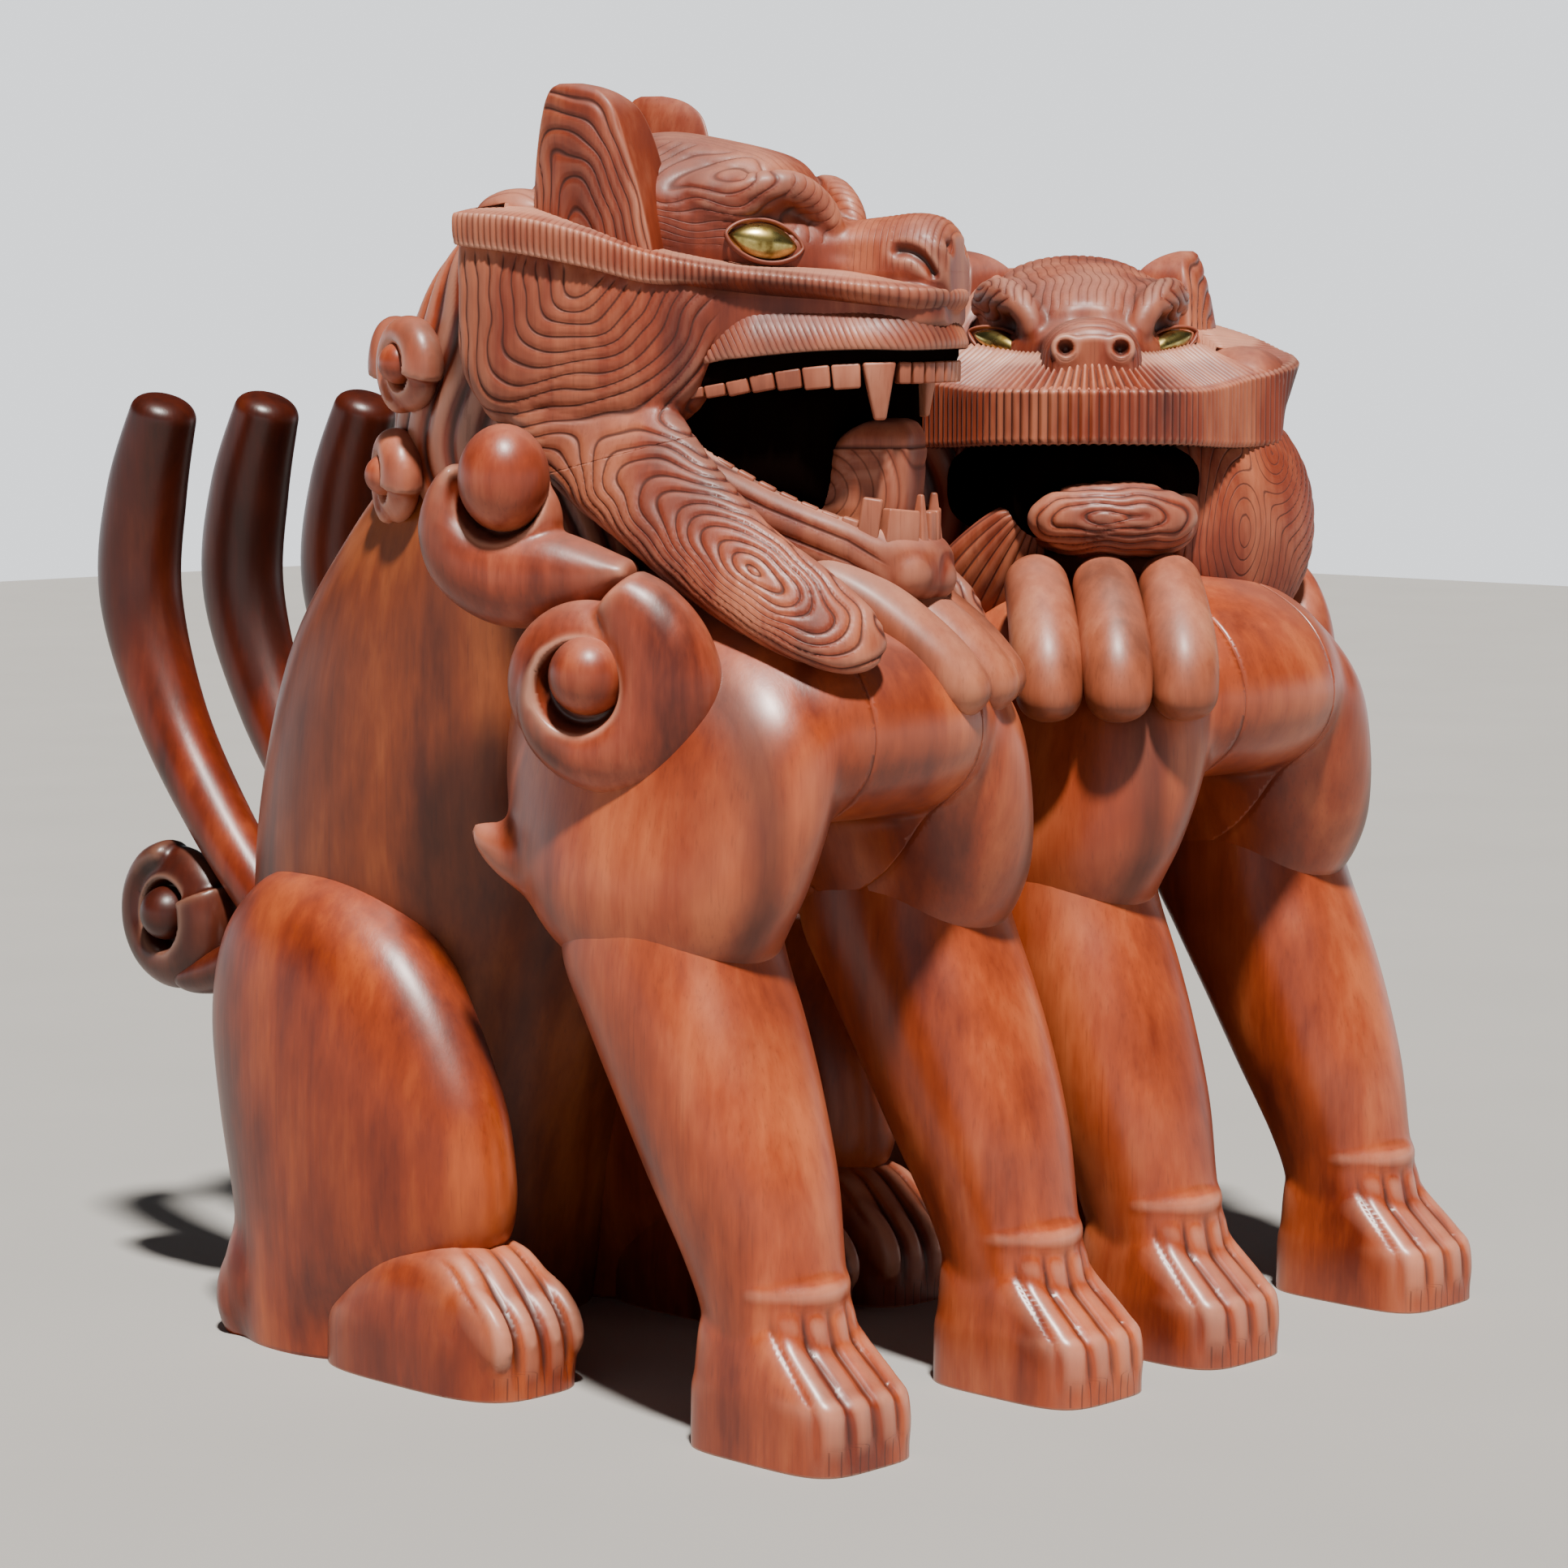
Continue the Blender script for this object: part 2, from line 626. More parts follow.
def paw(name, forms, x, wrist, front):
    piece = pressed_together(name, forms, 6, 3)
    sawn_off(piece, (0, 0, 0), (0, 0, 1))
    points, normals = points_of(piece), normals_of(piece)
    back = ease(points[:, 1], front, wrist)
    across = (points[:, 0] - x) / (TOE_WIDE * (1 - TOE_TAPER * back))
    ahead = ease(points[:, 1], wrist, wrist - 40) * (1 - ease(np.abs(across), 1.9, 2.05))
    ahead *= 1 - ease(points[:, 2], *TOE_TOP)
    outer = ease(np.maximum(normals[:, 2], -normals[:, 1]), 0.35, 0.65)
    gaps = ahead * outer * ease(points[:, 2], 10, 50)
    crown = 1 - np.abs(2 * (across - np.floor(across)) - 1) ** 2.6
    set_points(piece, points + normals * (gaps * (TOE_RISE * crown - TOE_SINK))[:, None])
    claws = ease(-normals[:, 1], 0.5, 0.8) * (1 - ease(points[:, 2], 26, 44)) * ahead
    line = np.where(claws > 0.4, across * CLAWS_A_TOE, across)
    set_marks(piece, line=line, cut=np.maximum(0.35 * gaps, 0.8 * claws))
    return read_relief(piece, 18, 4.5)


fold = wrapped("fold", spine_rings(wrist_fold(-226, -240, 214, 82, 92, 19), 20, 40, (0, 0, 1), 0.16, 0.16))
leg = wrapped("leg", level_rings(LEG_ROWS, 48, 60, 2.35))
block = wrapped("block", level_rings(PAW_ROWS, 64, 60, 4.2))
front_leg = paw("front_leg", [leg, block, fold], -228, -262, -429)
set_right_and_left(front_leg, "front_leg", CHEST)

# %% [markdown]
# A haunch is a thick leaf set beside the trunk, with a well rounded edge that catches the light and a heel
# behind it. Leaf and heel are pressed together and sawn flat at the floor. The hind paw lies in front: a
# block with four toe lumps pressed into it, and then the same ridges as on the front paw.

# %% Haunches and hind paws
HAUNCH_ROWS = [
    [-20, -255, 575, 98, 150], [60, -256, 572, 104, 166], [180, -260, 494, 110, 256],
    [320, -262, 502, 112, 276], [450, -260, 538, 110, 254], [560, -254, 568, 102, 200],
    [630, -244, 586, 78, 126], [658, -236, 592, 44, 66]]
HIND_PAW_ROWS = [
    [-30, -268, 320, 100, 188], [60, -268, 318, 103, 186], [98, -268, 312, 100, 164],
    [135, -267, 306, 94, 128], [168, -266, 306, 78, 92], [186, -265, 306, 54, 58]]
HEEL_LUMPS = [((-258, 672, 84), (98, 72, 124)), ((-260, 700, 52), (93, 62, 96))]
HIND_PAW_X, HIND_PAW_FRONT, HIND_TOE_PITCH = -268, 132, 42


def toes(x, front):
    return [
        lump((x + HIND_TOE_PITCH * i, front + 80, 92), (30, 86, 54), (26, 0, 0))
        for i in (-1.5, -0.5, 0.5, 1.5)]


haunch = pressed_together("haunch", [
    wrapped("haunch", level_rings(HAUNCH_ROWS, 96, 100, 2.1, 0.07))] + [
    lump(centre, radii) for centre, radii in HEEL_LUMPS], 10, 8)
sawn_off(haunch, (0, 0, 0), (0, 0, 1))
set_right_and_left(haunch, "haunch", BODY)
block = wrapped("block", level_rings(HIND_PAW_ROWS, 64, 40, 3.4))
hind_paw = paw(
    "hind_paw", [block] + toes(HIND_PAW_X, HIND_PAW_FRONT), HIND_PAW_X, 270, HIND_PAW_FRONT)
set_right_and_left(hind_paw, "hind_paw", BODY)

# %% [markdown]
# The tail is a fan of three plumes that leave the rump and bend upright, each a long round finger with a
# blunt tip. The stain is darker on the upper half, so a shade goes on the mesh there.

# %% Tail plumes
PLUME_ROWS = [
    [0, 770, 570, 42, 42], [0, 892, 690, 46, 46], [0, 1005, 840, 52, 52],
    [0, 1072, 1010, 60, 60], [0, 1054, 1160, 58, 58], [0, 1002, 1298, 46, 46]]
PLUME_X = {"right": -190, "middle": 0, "left": 190}
DARK_FROM = (860, 1010)
plume = wrapped("plume", spine_rings(PLUME_ROWS, 40, 90, (1, 0, 0), 0, 0.05))
set_marks(plume, shade=0.6 * ease(points_of(plume)[:, 2], *DARK_FROM))
for dog in DOGS:
    for side, x in PLUME_X.items():
        set_on_dog(plume, dog, "tail_plume_" + side, PLUME, dog_place(dog) @ moved(x, 0, 0))
print("plumes:", len(PLUME_X), "on each dog")
done_with(plume)

# %% [markdown]
# The curls of the mane are commas: a thick tail that thins as it winds round a ball, which sits in a dark
# crater. A spine on a spiral makes the tail. Behind it a flat boss closes the crater, as the wood does
# where the carver stops cutting.

# %% One curl of the mane
def curl(name, size, winding, centre, ball, grain=4.0, low=0.0):
    rows = []
    for degrees, far, half in winding:
        w = math.radians(degrees)
        reach = (far - 0.25 * half) * size
        deep = 0.24 + 0.5 * half
        rows.append([0, reach * math.cos(w), reach * math.sin(w), deep * size, 1.25 * half * size])
    tail = wrapped("curl", spine_rings(rows, 32, 90, (1, 0, 0), 0.03, 0.05))
    boss = lump((0.06 * size, 0, -low * size), (0.42 * size, (0.9 - low) * size, (0.9 - low) * size))
    piece = pressed_together(name, [tail, boss], grain, 6)
    points, normals = points_of(piece), normals_of(piece)
    crater = 1 - ease(np.hypot(points[:, 1], points[:, 2]) / size, 0.40, 0.50)
    crater *= normals[:, 0] < 0.3
    points[:, 0] += 0.28 * size * crater
    set_points(piece, points)
    read_relief(piece, 20, 4.5)
    ball_r = ball[2] * size
    knob = lump((-0.2 * size, ball[0] * size, ball[1] * size), (ball_r, ball_r, (1 + 0.6 * low) * ball_r))
    bpy.ops.object.shade_smooth()
    piece = joined([piece, knob])
    piece.data.transform(moved(0, centre[0] * size, centre[1] * size))
    return piece


def placed(form, place):
    only(form)
    bpy.ops.object.duplicate(linked=False)
    copy = bpy.context.object
    copy.data.transform(place)
    if place.determinant() < 0:
        copy.data.flip_normals()
    return copy


# %% [markdown]
# Two big curls lie one over the other on each side of the neck. Between the dogs they lie closer in, to
# stay clear of the partner's, and the right dog wears them lower with its head.

# %% Side curls
SIDE_CURL = 120
SIDE_CURL_DROP = per_dog(0, 70)
SIDE_CURL_TURN = {"right": 27, "left": -6}
LOWER_CURL_X = {"right": -316, "left": -288}
# Degrees round the ball, distance from its crater and half thickness, both in curl sizes
UPPER_WINDING = [
    (208, 1.66, 0.08), (218, 1.40, 0.26), (236, 1.12, 0.40), (266, 0.96, 0.44), (300, 0.88, 0.38),
    (328, 0.80, 0.29), (352, 0.72, 0.20), (374, 0.66, 0.12), (392, 0.60, 0.06)]
LOWER_WINDING = [
    (108, 1.14, 0.24), (130, 1.04, 0.38), (160, 1.00, 0.47), (190, 1.00, 0.50), (225, 0.93, 0.45),
    (265, 0.78, 0.34), (310, 0.67, 0.24), (355, 0.59, 0.16), (400, 0.55, 0.12), (440, 0.48, 0.10)]
upper_curl = curl("upper_curl", SIDE_CURL, UPPER_WINDING, (0.36, 0.2), (-0.06, 0.2, 0.49), 4.0, 0.28)
lower_curl = curl("lower_curl", SIDE_CURL, LOWER_WINDING, (0.36, -0.02), (-0.09, 0.12, 0.42))
for dog in DOGS:
    drop = SIDE_CURL_DROP[dog]
    for side, flip in SIDES.items():
        neck = flip @ moved(0, NECK_Y, 0) @ turned(SIDE_CURL_TURN[side])
        pair = joined([
            placed(upper_curl, neck @ moved(-262, 168, 1160 - drop)),
            placed(lower_curl, neck @ moved(LOWER_CURL_X[side], 40, 952 - drop / 2))])
        set_on_dog(pair, dog, "side_curls_" + side, CURL, dog_place(dog))
        done_with(pair)
print("side curls: two on each side of each neck")
done_with(upper_curl, lower_curl)

# %% [markdown]
# The same comma, half the size, is repeated in two rows round the back of the neck. A scroll of the larger
# kind sits on each side of the tail's root, on a stem that comes out of the rump and is stained dark with it.

# %% Nape curls and tail scrolls
NAPE_ANGLES = (-62, -20, 20, 62)
SMALL_WINDING = [(200 - 31 * i, 0.62 + 0.03 * i, 0.44 - 0.033 * i) for i in range(10)]
SCROLL_STEM = [
    [-190, 700, 560, 50, 44], [-204, 800, 508, 46, 38], [-213, 885, 476, 42, 30], [-215, 950, 462, 34, 18]]
SCROLL_SHADE = 0.55
SCROLL_WINDING = [(150 + 33 * i, 0.60 + 0.03 * i, 0.42 - 0.03 * i) for i in range(10)]
small_curl = curl("small_curl", 66, SMALL_WINDING, (0, 0), (0.08, 0.08, 0.42), 4.2)
nape = joined([
    placed(small_curl, moved(-20, 345, 1195 + 150 * level) @ turned(-90 + w + 14 * level) @ moved(-238, 0, 0))
    for w in NAPE_ANGLES for level in (0, 1)])
set_on_both(nape, "nape_curls", CURL)
done_with(small_curl)
scroll = curl("scroll", 108, SCROLL_WINDING, (0, 0), (0.02, 0.02, 0.36))
stem = wrapped("stem", spine_rings(SCROLL_STEM, 32, 40, (1, 0, 0), 0.1, 0.2))
scrolls = both_sides(joined([placed(scroll, moved(-215, 960, 556)), stem]))
set_marks(scrolls, shade=np.full(len(points_of(scrolls)), SCROLL_SHADE))
set_on_both(scrolls, "tail_curls", PLUME)
done_with(scroll)

# %% [markdown]
# The mane is the mass between the head and the back. Long locks are cut into it that run down from the
# crown and sway to one side, so the grooves follow the angle round the neck plus a slow wave in height.

# %% Mane
MANE_ROWS = [
    [1090, 0, 360, 195, 200], [1180, -10, 365, 220, 225], [1300, -25, 345, 222, 232],
    [1420, -45, 305, 196, 222], [1510, -60, 268, 152, 180], [1565, -68, 240, 90, 110]]
LOCKS_ROUND = 26
for dog in DOGS:
    mane = wrapped("mane", level_rings(MANE_ROWS, 220, 150, 2.0, 0.1))
    spot = points_of(mane)
    round_neck = np.arctan2(spot[:, 1] - 300, spot[:, 0] + 25) / (2 * np.pi)
    sway = 0.028 * np.sin(spot[:, 2] / 60)
    carve(mane, (round_neck + sway) * LOCKS_ROUND, 0.9 + 0 * sway, 7, 0.2)
    read_relief(mane, 20, 4.0)
    set_on_dog(mane, dog, "mane", CURL, dog_place(dog) @ moved(0, 0, -0.6 * HEAD_DROP[dog]))
    done_with(mane)
print("mane locks round the neck:", LOCKS_ROUND)

# %% [markdown]
# The head is the heart of the carving. A square drum makes the cheeks and the core of the muzzle, a long
# round form the skull and broad nose, and lumps the brows and the nostril wings. On the left dog the cheeks
# run down into long beard flaps beside the jaw, and its forehead is a flat plate. The right dog's skull is
# lower and domed, its nose shorter, its brows are soft folds and a block swells at each end of its lip. One
# skin covers them all, fine enough for the grooves.

# %% Head, the rough form
CHEEK_ROWS = [
    [-316, 0, 30, 140, 78], [-306, 0, 30, 176, 112], [-268, 0, 6, 194, 140], [-219, 0, -4, 199, 144],
    [-150, 0, -20, 200, 147], [-70, 0, -22, 196, 128], [0, 0, -14, 182, 100], [34, 0, 8, 166, 58],
    [66, 0, 16, 152, 46], [130, 0, 22, 134, 34], [220, 0, 22, 114, 32], [285, 0, 22, 88, 30],
    [312, 0, 22, 54, 24]]
SKULL_ROWS = [
    [-262, 0, 118, 70, 36], [-230, 0, 122, 122, 84], [-150, 0, 128, 150, 116], [-40, 0, 126, 148, 112],
    [40, 0, 118, 136, 104], [92, 0, 106, 120, 96], [124, 0, 92, 104, 72], [160, 0, 84, 86, 54],
    [205, 0, 80, 74, 59], [262, 0, 82, 73, 63], [298, 0, 78, 68, 60], [318, 0, 68, 54, 48]]
BROW_ROWS = {
    "left_dog_": [
        [-130, -14, 152, 14, 18], [-116, -72, 172, 19, 22], [-92, -116, 174, 21, 24],
        [-68, -144, 154, 20, 23], [-56, -161, 127, 17, 18], [-52, -168, 107, 9, 9]],
    "right_dog_": [
        [-142, 20, 158, 16, 18], [-132, -36, 174, 22, 24], [-112, -82, 172, 26, 28],
        [-88, -114, 150, 25, 28], [-71, -132, 120, 21, 22], [-65, -138, 98, 12, 12]]}
FOREHEAD_PLATE = [
    [-120, 0, 184, 64, 64], [-60, 0, 186, 94, 66], [20, 0, 176, 100, 62], [80, 0, 166, 92, 56],
    [108, 0, 158, 64, 46], [122, 0, 150, 40, 34]]
BROW_SWELL = ((-96, -20, 152), (46, 92, 50))
HEAD_BACK = ((-110, 246, 138), (40, 62, 40))
LIP_END = ((-238, 44, 54), (70, 92, 50))
DOME = ((0, 6, 130), (136, 160, 84))
SKULL_DROP = 10
NOSE_BACK = per_dog(0, 50)
JOWL_ROWS = [
    [-110, 200, -10, 100, 40], [-152, 118, -130, 98, 44], [-205, 20, -216, 80, 42], [-248, -90, -300, 69, 38],
    [-266, -205, -366, 60, 30], [-250, -288, -410, 36, 20]]


def ring(x, y, z, radius, thick):
    bpy.ops.object.select_all(action="DESELECT")
    bpy.ops.mesh.primitive_torus_add(
        location=Vector((x, y, z)) * MM, rotation=(math.radians(78), 0, 0), major_radius=radius * MM,
        minor_radius=thick * MM, major_segments=32, minor_segments=16)
    bpy.ops.object.transform_apply(location=True, rotation=True, scale=True)
    return bpy.context.object


def head_skin(dog):
    back = NOSE_BACK[dog]
    skull = np.asarray(SKULL_ROWS, float)
    sides = [
        wrapped("brow_bar", spine_rings(BROW_ROWS[dog], 24, 40)),
        lump((-40, -288 + back, 92), (28, 30, 28)), lump(*BROW_SWELL), lump(*HEAD_BACK)]
    if dog == "left_dog_":
        sides.append(wrapped("jowl", spine_rings(JOWL_ROWS, 64, 90, (0.5, 0, 1), 0.06, 0.12, 2.6)))
        top = wrapped("plate", head_rings(FOREHEAD_PLATE, 48, 40, 2.8))
    else:
        skull[:, 2] -= SKULL_DROP * (1 - ease(skull[:, 0], 60, 124))
        skull[:, 0] -= back * ease(skull[:, 0], 124, 300)
        sides += [ring(-38, -314 + back, 102, 15, 7), lump(*LIP_END)]
        top = lump(*DOME)
    return pressed_together("head", [
        wrapped("cheeks", head_rings(CHEEK_ROWS, 80, 90, 5.0)),
        wrapped("skull", head_rings(skull, 80, 90, 2.2)),
        top, both_sides(joined(sides))], 4.0, 7)


# %% [markdown]
# The carver's hand shows in the grooves. On the cheek they nest like the growth rings of a knot, with arms
# that sweep up to the mouth corner, and on the flap they close to long ovals. Each pattern is a formula for
# the distance from its own middle, and the smaller one of cheek and flap wins, as where two knots meet in a
# board. On the brow the grooves circle the scroll over the eye, on the forehead they run lengthwise, and on
# the nose they run across. The left dog's nostril is a deeper cut in the form of a comma.

# %% Head, the grooves
BAND_LINE = ([-302, -213, -125, -48, 61, 168, 275, 326], [125, 116, 98, 74, 64, 52, 37, 36])
NOSTRIL_COMMA = ((254, 96, 15), (268, 95, 14), (282, 88, 13), (293, 77, 11), (300, 65, 9))
COMMA_DEEP = 11
FACE_DENTS = (
    ((38, -322, 102), (8, 16, 8), 16), ((118, -104, 132), (26, 40, 18), 12),
    ((0, -150, 140), (20, 26, 26), 6), ((84, -186, 94), (20, 34, 20), 7))
ON_NOSE_Y = -200
BAR_CUT = per_dog(0.35, 0)
WRINKLE_CUT = per_dog(0.35, 0.7)
FLAP_SAW_AT, FLAP_SAW_NORMAL = (0, 20, -150), Vector((0, 0.25, 0.97))


def sway_of(u, v):
    slow = 4.5 * np.sin(u / 37 + 1.3 * np.sin(v / 53)) + 3.5 * np.sin(v / 29 + u / 61)
    return slow + 1.6 * np.sin(u / 14 + 2 * np.sin(v / 23)) + 1.2 * np.sin(v / 11 - u / 19)


def softest(k, *ways):
    return k * np.log(sum(np.exp(np.clip(w / k, -30, 30)) for w in ways))


def cheek_rings(u, v):
    return softest(17, -(u + 142), -(v - 42), 0.77 * (u + 142) - 0.64 * (v - 42))


def flap_ovals(u, v):
    lengthwise = 0.83 * (u - 129) - 0.56 * (v + 305)
    across = 0.56 * (u - 129) + 0.83 * (v + 305)
    return np.hypot(lengthwise / 3.0, across)


def face_pattern(points, normals, bars, wrinkles):
    x, u, v = np.abs(points[:, 0]), -points[:, 1], points[:, 2]
    sway = sway_of(u, v)
    band = np.interp(u, *BAND_LINE)
    on_cheek = ease(x, 110, 150) * np.maximum(1 - ease(u, 20, 48), ease(-v, 100, 130))
    on_cheek *= 1 - ease(v - band, -34, -24)
    brow = np.hypot((u - 64) * np.where(u < 64, 0.55, 0.9), (v - 190) * 1.2) + 2.2 * sway
    on_brow = ease(v, 92, 112) * ease(u, -110, -80) * (1 - ease(u, 112, 136)) * ease(x, 62, 84)
    on_top = ease(normals[:, 2], 0.2, 0.5) * ease(v, 120, 150) * (1 - ease(u, 118, 150))
    on_bar = ease(u, 108, 122) * (1 - ease(u, 168, 184)) * ease(x, 28, 40) * ease(v, 96, 112)
    on_nose = ease(u, 176, 200) * ease(v, 60, 78)
    line = -softest(0.8, -(cheek_rings(u, v) + sway) / 16.5, -(flap_ovals(u, v) + 0.7 * sway) / 9)
    cut = on_cheek
    for pattern, share in (
            (u / 8.5, on_nose * 0.45), ((points[:, 0] + sway) / 13, on_top * wrinkles),
            (brow / 12.5, on_brow * 0.7), ((x + 0.5 * v) / 11, on_bar * bars)):
        line = np.where(share > np.maximum(cut, 0.2), pattern, line)
        cut = np.where(share > np.maximum(cut, 0.2), share, cut)
    return line, cut


for dog in DOGS:
    head = head_skin(dog)
    for (x, y, z), radii, depth in FACE_DENTS:
        back = NOSE_BACK[dog] if y < ON_NOSE_Y else 0
        dent(head, (x, y + back, z), radii, depth)
    spot = points_of(head)
    comma = np.max([
        1 - ease(np.hypot(-spot[:, 1] - u, spot[:, 2] - v), 0, r) for u, v, r in along(NOSTRIL_COMMA, 40)], 0)
    comma *= (dog == "left_dog_") * (np.abs(spot[:, 0]) > 30)
    set_points(head, spot - normals_of(head) * (COMMA_DEEP * comma)[:, None])
    line, cut = face_pattern(points_of(head), normals_of(head), BAR_CUT[dog], WRINKLE_CUT[dog])
    carve(head, line, cut * (1 - ease(comma, 0, 0.3)), 2.6, 0.14)
    read_relief(head, 22, 5.0)
    spot = points_of(head)
    in_mouth = ease(-spot[:, 1], 8, 34) * (1 - ease(spot[:, 2], -14, 6))
    in_mouth *= 1 - ease(np.abs(spot[:, 0]), 140, 156)
    set_marks(head, shade=np.maximum(0.3 * comma, in_mouth * ease(spot[:, 2], -130, -110)))
    if dog == "left_dog_":
        flaps = placed(head, Matrix())
        sawn_off(head, FLAP_SAW_AT, FLAP_SAW_NORMAL)
        sawn_off(flaps, FLAP_SAW_AT, -FLAP_SAW_NORMAL)
        set_on_head(flaps, dog, "lower_jaw", part="_flaps")
        print("flaps:", len(flaps.data.polygons), "faces")
        done_with(flaps)
    set_on_head(head, dog, "head")
    print("head:", len(head.data.polygons), "faces")
    done_with(head)

# %% [markdown]
# A ribbed band runs from behind the ear under the eye and round the muzzle. Below it the face is hollowed,
# and the upper lip swells out again with slanted cuts. One strip has all three: its section is drawn from
# the band's top to the inside of the lip, and is carried round the face, a few steps to each rib. On the
# right dog band and lip are one broad ribbed ledge that flares at the sides, where it is almost plain.

# %% Whisker band and upper lip
WHISKER_ROWS = {
    "left_dog_": [
        [-318, -150, 126, 17, 84], [-304, -190, 125, 19, 84], [-213, -212, 116, 21, 76],
        [-125, -212, 98, 20, 56], [-48, -202, 76, 17, 18], [8, -188, 68, 12, -44], [61, -173, 62, 9, -43],
        [110, -161, 57, 9, -38], [168, -148, 51, 9, -33], [230, -134, 43, 10, -31],
        [280, -108, 37, 11, -32], [312, -64, 34, 12, -31], [324, 0, 34, 12, -30]],
    "right_dog_": [
        [-318, -150, 126, 17, 84], [-304, -190, 125, 19, 84], [-213, -222, 110, 22, 66],
        [-125, -292, 82, 24, 8], [-50, -322, 60, 25, -26], [20, -290, 48, 22, -37], [90, -238, 42, 18, -39],
        [160, -198, 36, 15, -37], [230, -160, 32, 14, -33], [280, -116, 32, 14, -30],
        [312, -64, 32, 14, -29], [324, 0, 32, 14, -28]]}
SIDE_RIB, LEDGE_RIB, FRONT_RIB = 9.0, 13.0, 14.5
STEPS_A_RIB = 8
RIB_SLANT = per_dog(0.055, 0)
RIB_WIDTH = per_dog(0.22, 0.26)
RIB_DROP = per_dog(0.6, 1.7)
# Depth and darkness of the ribs at the side, and how much less they are round the muzzle
RIB_DEEP = per_dog((1.8, 0.7), (3.6, 0))
RIB_STAIN = per_dog((0.7, 0.25), (1, 0))
HOLLOW_STAIN = per_dog(0.5, 0)
PLAIN_FLARE = per_dog(0, 0.9)
UNDER_LIP = 33


def whisker_path(dog):
    half = np.asarray(WHISKER_ROWS[dog], float)
    rest = half[-2::-1] * np.array([1, -1, 1, 1, 1])
    fine = along(np.vstack([half, rest]), 2400)
    step = np.concatenate([[0], np.hypot(*np.diff(fine[:, :2], axis=0).T)])
    side_rib = SIDE_RIB if dog == "left_dog_" else LEDGE_RIB
    pitch = side_rib + (FRONT_RIB - side_rib) * ease(fine[:, 0], 200, 290)
    count = np.cumsum(step / pitch)
    ribs = int(count[-1])
    want = np.linspace(0, ribs, ribs * STEPS_A_RIB + 1)
    return np.stack([np.interp(want, count, fine[:, k]) for k in range(5)], 1), want


def ledge_section(row):
    u, _, band, half, lip = row
    edge = band + half
    face = 0.5 * (edge + lip)
    inner = -34 * (1 - float(ease(u, -60, 30)))
    rise = 0.15 + 0.85 * float(ease(u, -20, 110))
    deep = 130 - 50 * rise
    return along([
        [-deep, edge + 52 * rise, 0.6], [-0.7 * deep, edge + 35 * rise, 0.8], [-30, edge + 17 * rise, 1],
        [-9, edge + 3, 1], [-1, edge - 3, 1], [0, edge - 10, 1], [0.4 * inner, face + 10, 1],
        [0.7 * inner, face - 8, 1], [inner, lip + 14, 1], [inner, lip + 6, 1], [-5 + inner, lip, 0.5],
        [-24 + inner, lip + 4, 0], [-66 - 110 * (1 - rise), lip + 14, 0]], 40)


def band_section(row, fore, reach=0):
    _, _, band, half, lip = row
    edge = band + half
    inner = -34 * (1 - fore)
    top = lip + 20 + fore * (12 - lip - 20)
    return along([
        [-70 - reach, edge + 14, 0], [-30, edge + 7, 0.4], [-8, edge + 2, 0.8], [-1, edge - 2, 1],
        [0, band, 1], [-2 - 2 * fore, band - half + 3, 1], [-9 - 3 * fore, band - half - 4, 0.8],
        [-28 + inner, 0.5 * (band - half + top) + 2, 0.3], [-22 + inner, top + 4, 0.5],
        [-10 + inner, 0.75 * top + 0.25 * lip, 0.9], [-2 + inner, 0.4 * top + 0.6 * lip, 1],
        [0 + inner, lip + 6, 1], [-5 + inner, lip, 0.5], [-24 + inner, lip + 4, 0],
        [-60 - reach, lip + 14, 0]], 40)


def whisker_section(dog, row):
    if dog == "left_dog_":
        return band_section(row, float(ease(row[0], -30, 90)))
    share = float(ease(row[0], -150, -60))
    return (1 - share) * band_section(row, 0, 60) + share * ledge_section(row)


for dog in DOGS:
    path, rib = whisker_path(dog)
    u, x = path[:, 0, None], path[:, 1, None]
    way = direction(path[:, :2])
    sections = np.stack([whisker_section(dog, row) for row in path])
    below_band = sections[..., 1] - (path[:, 2, None] - path[:, 3, None])
    on_side = np.clip(np.abs(x) / 120, 0, 1) ** 2
    rib_line = rib[:, None] + np.minimum(below_band, 0) * RIB_SLANT[dog] * on_side
    plain = PLAIN_FLARE[dog] * np.exp(-((u + 50) / 66) ** 2)
    rib_cut = np.clip(sections[..., 2], 0, 1) * (1 - plain)
    fore = ease(u, 10, 70)
    deep, stain = (side - less * fore for side, less in (RIB_DEEP[dog], RIB_STAIN[dog]))
    sunk = rib_cut * deep * groove(rib_line, RIB_WIDTH[dog])
    out = sections[..., 0] - sunk
    strip = np.stack([
        x - way[:, 0, None] * out, -(u + way[:, 1, None] * out),
        sections[..., 1] - RIB_DROP[dog] * sunk * (sections[..., 0] < -5)], -1)
    under = np.zeros_like(rib_cut)
    under[:, UNDER_LIP:] = 1.0
    hollow = HOLLOW_STAIN[dog] * fore * np.exp(-((below_band + 16) / 12) ** 2)
    whiskers = wrapped(
        "whiskers", strip, line=rib_line, cut=rib_cut * stain, shade=np.maximum(under * fore, hollow))
    read_relief(whiskers, 16, 5.0)
    set_on_head(whiskers, dog, "head", part="_whiskers")
    print("whisker ribs:", int(rib[-1]))
    done_with(whiskers)

# %% [markdown]
# An ear is a leaf with three faces: a full outer face cut with nested arches, a smooth front face and a
# plain back, which meet in ridges. The right dog's ears lie lower on its head. They are the same leaf made
# broader, turned to the front and leant inwards.

